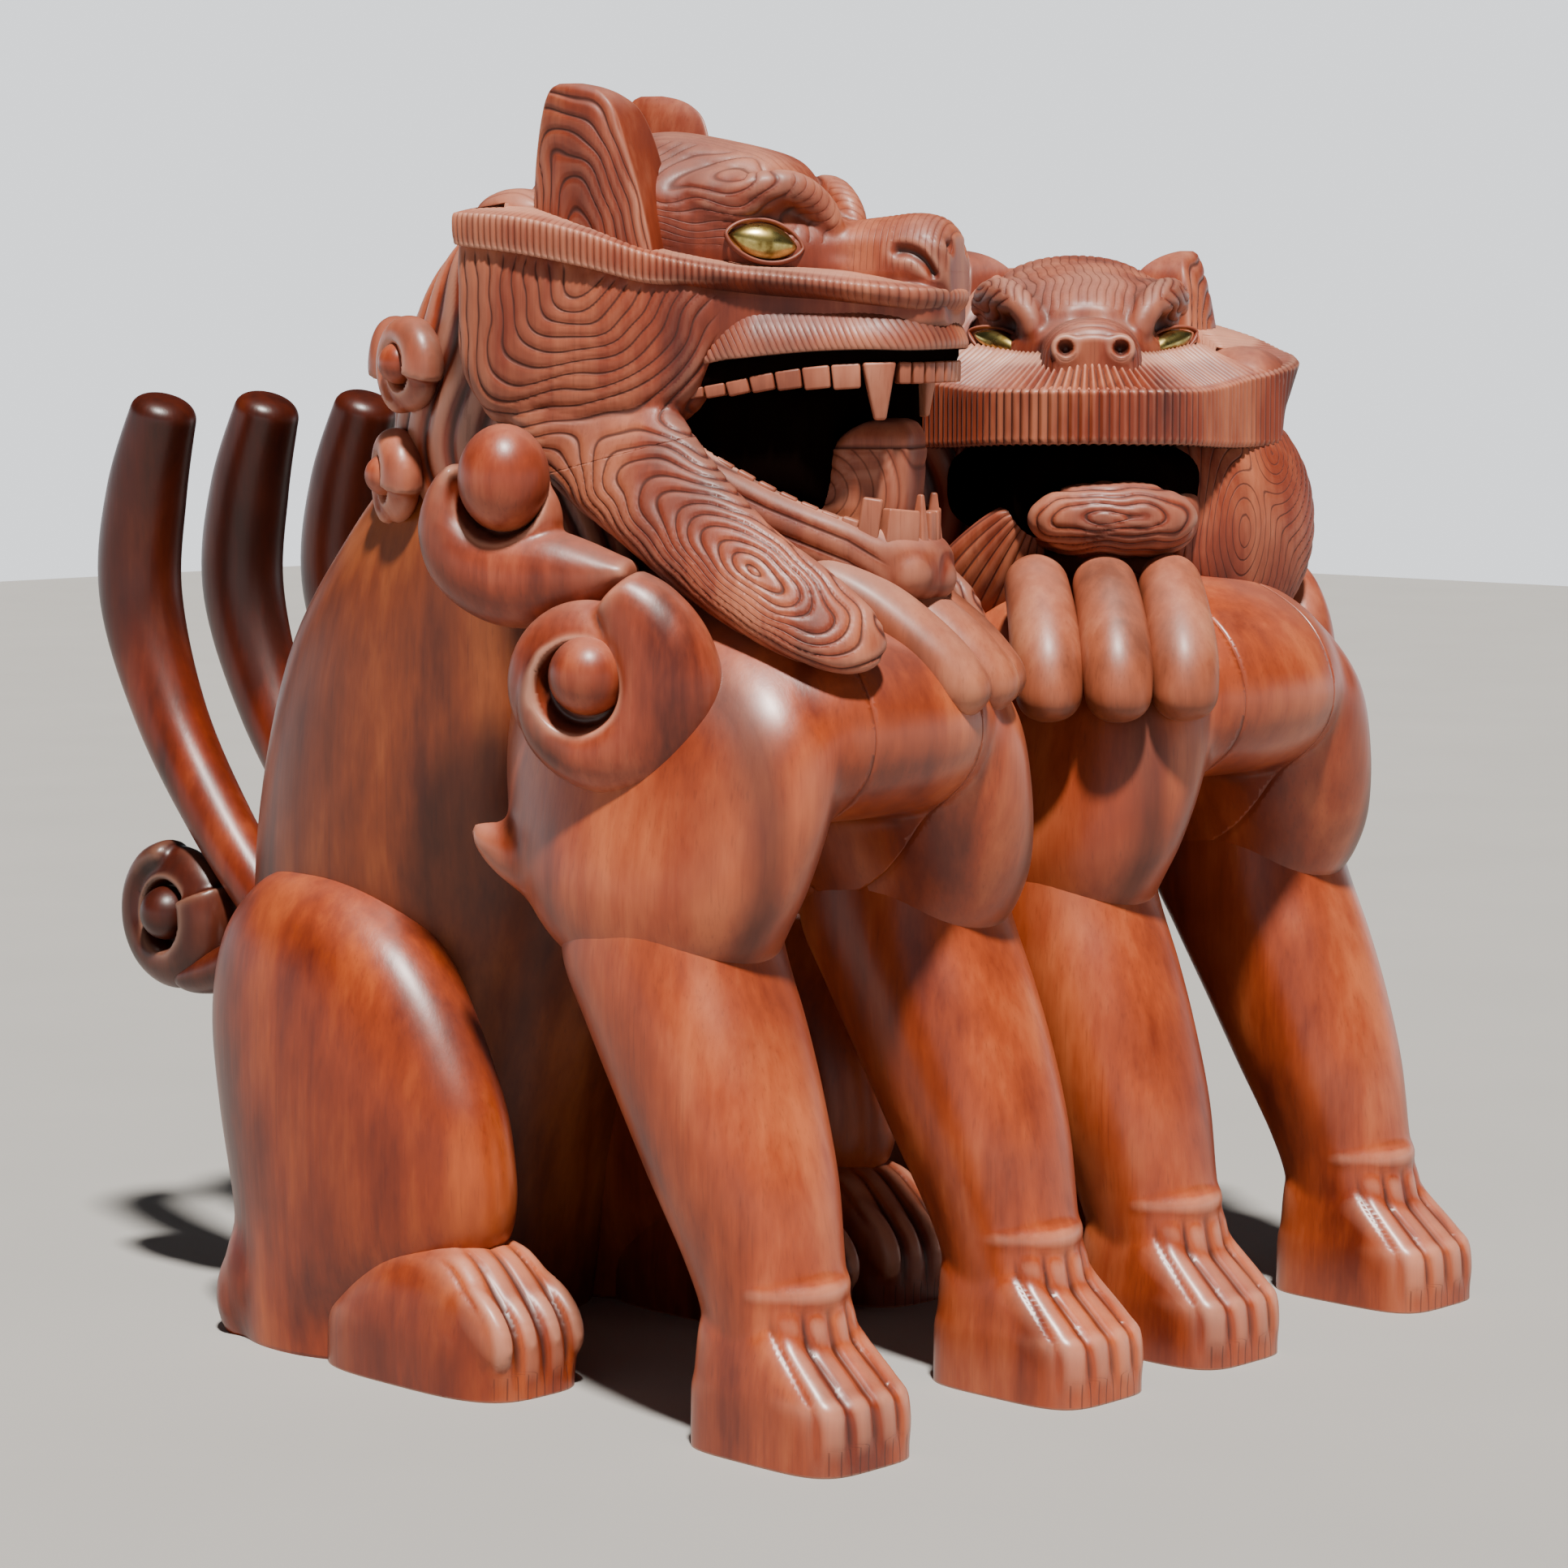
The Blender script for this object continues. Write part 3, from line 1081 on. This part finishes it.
# %% Ears
EAR_ROWS = [
    [70, -216, -140, -38, -180, -24, -84], [130, -216, -146, -48, -186, -32, -92],
    [190, -213, -150, -62, -188, -46, -104], [240, -206, -154, -78, -186, -58, -116],
    [275, -198, -157, -92, -181, -72, -130], [293, -191, -159, -107, -175, -92, -142],
    [303, -183, -160, -125, -169, -115, -152], [308, -172, -160, -145, -164, -140, -158]]
EAR_SWELL = ((0.4, -16), (0.3, 6), (-0.3, 8))
EAR_ROOT = (-150, 130)
LEAN_FROM = 130


def ear_ring(row):
    corners = row[1:].reshape(3, 2)
    faces = []
    for i, swell in enumerate(EAR_SWELL):
        a, b = corners[i], corners[(i + 1) % 3]
        t = np.linspace(0, 1, 40, endpoint=False)[:, None]
        size = np.linalg.norm(b - a) / 180
        faces.append(a + (b - a) * t + np.array(swell) * size * 4 * t * (1 - t))
    outline = np.vstack(faces)
    for _ in range(3):
        outline = 0.5 * outline + 0.25 * (np.roll(outline, 1, 0) + np.roll(outline, -1, 0))
    return np.column_stack([outline[:, 1], -outline[:, 0], np.full(len(outline), row[0])])


def about(x, y, degrees, broad):
    return moved(x, y, 0) @ turned(degrees) @ Matrix.Scale(broad, 4, (1, 0, 0)) @ moved(-x, -y, 0)


def leaned(share, level):
    lean = Matrix()
    lean[0][2] = share
    return moved(0, 0, level) @ lean @ moved(0, 0, -level)


ear = wrapped("ear", [ear_ring(row) for row in along(EAR_ROWS, 90)])
spot, facing = points_of(ear), normals_of(ear)
ear_u, ear_v = -spot[:, 1], spot[:, 2]
arches = softest(9, -(ear_u + 145), 0.8 * (ear_u + 145) + 0.25 * (ear_v - 115), 0.4 * (ear_v - 112))
on_outer = ease(-facing[:, 0], 0.45, 0.75)
carve(ear, (arches + sway_of(ear_u, ear_v) * 0.6) / 11, on_outer, 2.6)
read_relief(ear, 16, 4.0)
for dog in DOGS:
    for side, flip in SIDES.items():
        place = head_place(dog) @ flip @ moved(-EAR_OUT[dog], 0, -EAR_DROP[dog])
        place = place @ leaned(EAR_LEAN[dog], LEAN_FROM) @ about(*EAR_ROOT, EAR_TURN[dog], EAR_BROAD[dog])
        set_on_dog(ear, dog, "ear_" + side, FACE, place)
print("ear:", len(ear.data.polygons), "faces")
done_with(ear)

# %% [markdown]
# The eyes are brass almonds that bulge from the sockets, and a carved lid follows each one's outline. The
# almond is drawn as rings from one corner to the other, high in the middle and pointed at both ends.

# %% Eyes and lids
EYE_AT = (-112, -86, 104)
EYE_TILT = 22
EYE_DEEP = 26
EYE_LONG = per_dog(47, 54)
EYE_HIGH = per_dog(26, 19)
EYE_TURN = per_dog(30, 56)


def almond_rings(long, high, deep, sides=40, steps=48):
    t = np.linspace(-1, 1, steps)
    w = 2 * np.pi * np.arange(sides) / sides
    tall = high * np.clip(1 - t * t, 0.0004, 1) ** 0.85
    thick = deep * np.sqrt(np.clip(1 - t * t, 0.0004, 1))
    x = thick[:, None] * np.cos(w)
    z = tall[:, None] * np.sin(w)
    return np.stack([x, long * t[:, None] + 0 * w, z], -1)


bend = np.radians(np.linspace(0, 360, 49))
for dog in DOGS:
    high, long = EYE_HIGH[dog], EYE_LONG[dog]
    eye_place = moved(*EYE_AT) @ turned(EYE_TILT, "Y") @ turned(EYE_TURN[dog], "Z")
    eye = wrapped("eye", almond_rings(long, high, EYE_DEEP))
    eye.data.transform(eye_place)
    eyes = both_sides(eye)
    lid = wrapped("lid", spine_rings([
        [-9, long * 1.08 * math.cos(w), high * 1.1 * math.sin(w) * abs(math.sin(w)) ** 0.35, 4.5, 2.8]
        for w in bend], 16, 120))
    lid.data.transform(eye_place)
    lids = read_relief(both_sides(lid), 8, 3.0)
    set_on_head(eyes, dog, "eyes", BRASS)
    set_on_head(lids, dog, "head", part="_lids")
    done_with(eyes, lids)
print("eyes and lids set")

# %% [markdown]
# The left dog shows its teeth: a row of square ones down each side that grows towards the front, a fang at
# each corner and small ones across the front. Each is a cube, bevelled and tapered. They hang from a dark
# gum set back under the lip, and a dark gullet closes the mouth behind the tongue and along its far side.

# %% Upper teeth
FANG_FROM, TOOTH_GAP = 40, 1.2
# Thickness, and the share of it that is left at the tip
FANG_SHAPE, TOOTH_SHAPE = (25, 0.36), (20, 0.93)


def tooth(wide, thick, tall, place, taper):
    bpy.ops.object.select_all(action="DESELECT")
    bpy.ops.mesh.primitive_cube_add(size=1)
    piece = bpy.context.object
    points = points_of(piece) * MM
    share = np.where(points[:, 2] < 0, taper, 1.0)
    points = points * np.array([thick, wide, tall])
    points[:, :2] *= share[:, None]
    set_points(piece, points)
    in_edit_mode(piece, lambda: bpy.ops.mesh.bevel(
        offset=0.16 * min(wide, thick, tall) * MM, segments=3, affect="EDGES"))
    bpy.ops.object.shade_smooth()
    piece.data.transform(place)
    return piece


def teeth_along(arch, sizes, upright, root=0):
    fine = along(arch, 400)
    run = np.concatenate([[0], np.cumsum(np.hypot(*np.diff(fine[:, :2], axis=0).T))])
    widths = np.array([wide for wide, _ in sizes], float)
    widths *= run[-1] / widths.sum()
    teeth = []
    for spot, wide, (_, tall) in zip(np.cumsum(widths) - widths / 2, widths, sizes):
        u, x, v = (np.interp(spot, run, fine[:, k]) for k in range(3))
        du, dx, dv = (
            np.interp(spot + 5, run, fine[:, k]) - np.interp(spot - 5, run, fine[:, k]) for k in range(3))
        place = moved(x, -u, v - upright * (tall - root) / 2) @ turned(math.degrees(math.atan2(dx, du)))
        place = place @ turned(-math.degrees(math.atan2(dv, 10)), "X")
        if upright < 0:
            place = place @ turned(180, "X")
        thick, taper = FANG_SHAPE if tall > FANG_FROM else TOOTH_SHAPE
        teeth.append(tooth(wide - TOOTH_GAP, thick, tall + root, place, taper))
    return both_sides(joined(teeth))


GUM_ARCH = [
    [-6, -150, -82], [50, -146, -72], [99, -140, -61], [160, -130, -52], [208, -119, -48], [246, -104, -46],
    [280, -76, -46], [300, -36, -45], [304, 0, -45]]
UPPER_TEETH = [
    (26, 13), (28, 16), (30, 19), (32, 22), (34, 25), (36, 29), (38, 32), (44, 74)] + [(18, 28)] * 6
GULLET_ROWS = {
    "left_dog_": [
        [-90, 0, -120, 120, 60], [-20, 0, -125, 124, 90], [60, 0, -140, 112, 100], [130, 0, -150, 98, 100],
        [160, 24, -152, 82, 98], [190, 84, -152, 34, 98], [236, 106, -150, 14, 90]],
    "right_dog_": [
        [-110, 0, -95, 170, 70], [0, 0, -98, 190, 76], [80, 0, -98, 184, 74], [170, 0, -98, 150, 72],
        [250, 0, -98, 106, 70]]}
upper_teeth = teeth_along(GUM_ARCH, UPPER_TEETH, 1)
set_on_head(upper_teeth, "left_dog_", "upper_teeth", TOOTH)
print("upper teeth:", len(upper_teeth.data.polygons), "faces")
gum_line = along(GUM_ARCH, 90)
gum_way = direction(gum_line[:, :2])
gum_section = np.array([(3, -3), (7, 6), (7, 36), (-40, 36), (-40, -3)])
gum = both_sides(wrapped("gum", np.stack([
    gum_line[:, 1, None] - gum_way[:, 0, None] * gum_section[:, 0],
    -gum_line[:, 0, None] - gum_way[:, 1, None] * gum_section[:, 0],
    gum_line[:, 2, None] + gum_section[:, 1]], -1)))
set_on_head(gum, "left_dog_", "head", DARK, part="_gum")
done_with(upper_teeth, gum)
for dog in DOGS:
    gullet = wrapped("gullet", head_rings(GULLET_ROWS[dog], 48, 40, 3.0))
    set_on_head(gullet, dog, "head", DARK, part="_gullet")
    done_with(gullet)

# %% [markdown]
# The lower jaw is a trough that slopes down to a knobbed chin. It is pressed together from a drum and the
# chin's knobs, and its top is then sunk between the rims. The right dog's jaw is shut up to a dark slit, and
# its chin is one broad oval cut with rings.

# %% Lower jaws
JAW_ROWS = {
    "left_dog_": [
        [-110, 0, -150, 138, 50], [-40, 0, -168, 148, 62], [20, 0, -208, 148, 62], [80, 0, -240, 138, 58],
        [140, 0, -268, 126, 56], [200, 0, -290, 114, 54], [250, 0, -306, 98, 48], [285, 0, -314, 70, 40],
        [302, 0, -316, 40, 26]],
    "right_dog_": [
        [-110, 0, -206, 150, 50], [-30, 0, -226, 156, 54], [70, 0, -246, 146, 52], [170, 0, -264, 130, 50],
        [250, 0, -276, 104, 46], [290, 0, -278, 70, 36]]}
CHIN_LUMPS = {
    "left_dog_": [
        ((-52, -256, -318), (42, 42, 38)), ((0, -282, -326), (40, 32, 32)),
        ((52, -256, -318), (42, 42, 38))],
    "right_dog_": [((8, -268, -266), (120, 54, 54))]}
RIM_WIDE, TROUGH_DEEP = 22, 44


def jaw_pattern(dog, points):
    x, u, v = points[:, 0], -points[:, 1], points[:, 2]
    if dog == "left_dog_":
        rim = np.interp(u, [-40, 4, 102, 200, 254], [-128, -149, -195, -234, -268])
        return (v - rim + 13) / 27, 0.9 * ease(np.abs(x), 84, 104) * (1 - ease(u, 225, 255))
    ovals = np.hypot((x - 8) / 3.4, v + 262) + 0.9 * sway_of(1.4 * x, v)
    return ovals / 10, ease(u, 215, 250)


for dog in DOGS:
    rows = np.asarray(JAW_ROWS[dog], float)
    jaw = pressed_together("jaw", [wrapped("trough", head_rings(rows, 64, 60, 3.2))] + [
        lump(centre, radii) for centre, radii in CHIN_LUMPS[dog]], 4.5, 4)
    spot, facing = points_of(jaw), normals_of(jaw)
    u = -spot[:, 1]
    inside = np.interp(u, rows[:, 0], rows[:, 3]) - RIM_WIDE - np.abs(spot[:, 0])
    sunk = ease(inside, 0, 9) * ease(facing[:, 2], 0.3, 0.6) * (1 - ease(u, 236, 258))
    spot[:, 2] -= TROUGH_DEEP * sunk
    set_points(jaw, spot)
    line, cut = jaw_pattern(dog, points_of(jaw))
    carve(jaw, line, cut, 3.0)
    read_relief(jaw, 20, 5.0)
    set_marks(jaw, shade=sunk * 0.95)
    set_on_head(jaw, dog, "lower_jaw", lowered=False)
    print("jaw:", len(jaw.data.polygons), "faces")
    done_with(jaw)

# %% [markdown]
# The right dog's beard flaps hang beside the jaw like leaves and face the front. One carries long nested
# ovals, the other is pleated.

# %% Beard flaps of the right dog
LEAF_ROWS = [
    [-198, -30, -120, 84, 24], [-206, -62, -195, 134, 34], [-204, -84, -275, 150, 36],
    [-188, -100, -345, 138, 30], [-166, -112, -400, 84, 20]]
PLEAT_ROWS = [
    [-120, -215, -262, 34, 20], [-142, -200, -300, 58, 26], [-165, -185, -345, 78, 28],
    [-184, -170, -385, 84, 22], [-198, -158, -412, 66, 14]]
FLAP_SIDES, FLAP_STEPS = 128, 120


def flap(pleated):
    rows, wide = (PLEAT_ROWS, (0.92, 0, -0.36)) if pleated else (LEAF_ROWS, (-0.8, 0.6, 0))
    rings = spine_rings(rows, FLAP_SIDES, FLAP_STEPS, wide, 0.12, 0.14)
    middle = rings.mean(1)
    run = np.concatenate([[0], np.cumsum(np.linalg.norm(np.diff(middle, axis=0), axis=1))])
    run -= 0.56 * run[-1]
    half = np.linalg.norm(rings[:, 0] - rings[:, FLAP_SIDES // 2], axis=1) / 2
    across = half[:, None] * round_square(FLAP_SIDES, 2.0)[0]
    wave = 3 * np.sin(run[:, None] / 40 + across / 30)
    low = np.hypot((run[:, None] - 40) / 1.7 - 0.3 * across, across + 20)
    high = np.hypot((run[:, None] + 95) / 1.2, across - 36)
    line = -softest(8, -low - 2 * wave, -high - wave) / 12
    if pleated:
        line = across / np.maximum(half, 20)[:, None] * 4
    cut = np.ones_like(line) * ease(half, 20, 50)[:, None]
    press = cut * groove(line, 0.2) * (5 if pleated else 3)
    rings = rings + (middle[:, None] - rings) * (press / np.maximum(half, 30)[:, None])[..., None]
    return read_relief(wrapped("flap", rings, line=line, cut=cut * 0.9), 16, 4.0)


for side, flip in SIDES.items():
    leaf = flap(side == "left")
    place = head_place("right_dog_", False) @ flip
    set_on_dog(leaf, "right_dog_", "lower_jaw", FACE, place, "_flap_" + side)
    done_with(leaf)
print("beard flaps: one on each side of the right dog's jaw")

# %% [markdown]
# Inside the open mouth a thick tongue stands up like a block behind the lower teeth, with rings cut into it
# below its flat top. The teeth stand on the sloping rim, and are made as the upper ones, turned over.

# %% Tongue and lower teeth
TONGUE_ROWS = [
    [-310, 0, -170, 58, 84], [-240, 0, -190, 58, 70], [-190, 0, -204, 57, 60], [-160, 0, -210, 56, 56],
    [-140, 0, -217, 52, 46], [-126, 0, -225, 42, 30], [-120, 0, -230, 26, 14]]
tongue = wrapped("tongue", level_rings(TONGUE_ROWS, 64, 120, 5.0))
spot = points_of(tongue)
rings = np.hypot(spot[:, 1] + 150, spot[:, 2] + 215) / 17
below = ease(-spot[:, 2], 156, 162)
carve(tongue, np.where(below > 0.5, rings, (spot[:, 2] + 158) / 60), 0.6 + 0.4 * (1 - below), 2)
read_relief(tongue, 14, 4.0)
set_on_head(tongue, "left_dog_", "tongue", lowered=False)
done_with(tongue)
LOWER_ARCH = [
    [20, -120, -168], [80, -112, -201], [140, -101, -230], [200, -92, -253], [236, -84, -260],
    [262, -60, -264], [276, -30, -267], [280, 0, -267]]
LOWER_TEETH = [(28, 3)] * 6 + [(26, 6), (30, 38), (54, 28), (20, 50), (26, 28)]
lower_teeth = teeth_along(LOWER_ARCH, LOWER_TEETH, -1, 20)
set_on_head(lower_teeth, "left_dog_", "lower_teeth", TOOTH, lowered=False)
print("lower teeth:", len(lower_teeth.data.polygons), "faces")
done_with(lower_teeth)

# %% [markdown]
# Three plump locks of the beard lie side by side on the chest, of a paler wood that is weathered on top.
# Each is one ring carried along a bent spine and closed at both ends.

# %% Beard locks
LOCK_ROWS = {
    "left_dog_": [
        [0, -150, -318, 44, 40], [0, -240, -360, 48, 42], [0, -325, -425, 50, 42], [0, -385, -490, 40, 36]],
    "right_dog_": [
        [22, -255, -336, 43, 40], [22, -345, -390, 47, 42], [22, -412, -458, 49, 42],
        [22, -440, -532, 42, 36]]}
LOCK_PITCH = 93
for dog in DOGS:
    lock = wrapped("lock", spine_rings(LOCK_ROWS[dog], 40, 60, (1, 0, 0), 0.16, 0.18))
    locks = joined([placed(lock, moved(i * LOCK_PITCH, 14 * abs(i), 0)) for i in (-1, 0, 1)])
    set_on_head(locks, dog, "beard_locks", LOCK, lowered=False)
    done_with(locks, lock)
print("beard locks: three on each dog")

# %% [markdown]
# The tenon of the neck and the dowels are inside and stay as the frame has them. They get bare wood.

# %% Joinery
for dog in DOGS:
    for node in ("neck_tenon", "dowels"):
        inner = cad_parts[dog + node]
        inner.data.materials.clear()
        inner.data.materials.append(JOINERY)
print("joinery left as framed")

# %% [markdown]
# A plain pale floor, a steep soft sun a little to the right of the camera as in the photograph, a weak fill
# from the left, and a bright band along the horizon as the backdrop.

# %% Floor and light
def pale_floor():
    material, tree, shader, place = new_finish("pale studio floor")
    cloud = node_in(tree, "TexNoise", Vector=place, Scale=1.5, Detail=4.0).outputs[0]
    tree.links.new(mixed(tree, cloud, hexed("#979592"), hexed("#a09e9b")), shader.inputs["Base Color"])
    shader.inputs["Roughness"].default_value = 0.85
    return material


bpy.ops.object.select_all(action="DESELECT")
bpy.ops.mesh.primitive_plane_add(size=30)
floor = bpy.context.object
floor.name = "studio_floor"
floor.data.materials.append(pale_floor())


def soft_sun(name, towards, strength, spread, colour):
    lamp = bpy.data.lights.new(name, "SUN")
    lamp.energy = strength
    lamp.angle = math.radians(spread)
    lamp.color = colour
    light = bpy.data.objects.new(name, lamp)
    bpy.context.collection.objects.link(light)
    light.rotation_euler = Vector(towards).to_track_quat("-Z", "Y").to_euler()


soft_sun("key_sun", (0.27, 0.36, -0.89), 9.0, 5, (1.0, 0.96, 0.9))
soft_sun("side_fill", (0.9, 0.3, -0.2), 0.12, 60, (0.9, 0.95, 1.0))
world = bpy.data.worlds.new("studio")
bpy.context.scene.world = world
world.use_nodes = True
sky = world.node_tree
height = node_in(sky, "SeparateXYZ", Vector=node_in(sky, "TexCoord").outputs["Generated"]).outputs[2]
backdrop = sky.nodes["Background"]
backdrop.inputs["Color"].default_value = (0.93, 0.96, 1.0, 1)
sky.links.new(ranged(sky, height, 0.08, 0.18, 1.5, 0.04), backdrop.inputs["Strength"])
print("floor and lights set")

# %% [markdown]
# The photograph is taken from the left front, at about head height, with a long lens that looks a little
# downward.

# %% Camera
PHOTO_WIDE = 1932
FOCAL_PIXELS = 5200
SENSOR = 36
LOOKS_DOWN, TURNED_RIGHT = 6.2, 46
camera = bpy.data.objects.new("photo_camera", bpy.data.cameras.new("photo_camera"))
bpy.context.collection.objects.link(camera)
camera.data.sensor_width = SENSOR
camera.data.lens = SENSOR * FOCAL_PIXELS / PHOTO_WIDE
camera.location = (-4.332, -4.218, 1.4)
camera.rotation_euler = (math.radians(90 - LOOKS_DOWN), 0, math.radians(-TURNED_RIGHT))
bpy.context.scene.camera = camera
print("lens", round(camera.data.lens, 1), "mm")

# %% [markdown]
# Last, the box of the frame and the box of the dressed pair are written down, so that they can be compared.

# %% Size
bpy.context.view_layer.update()
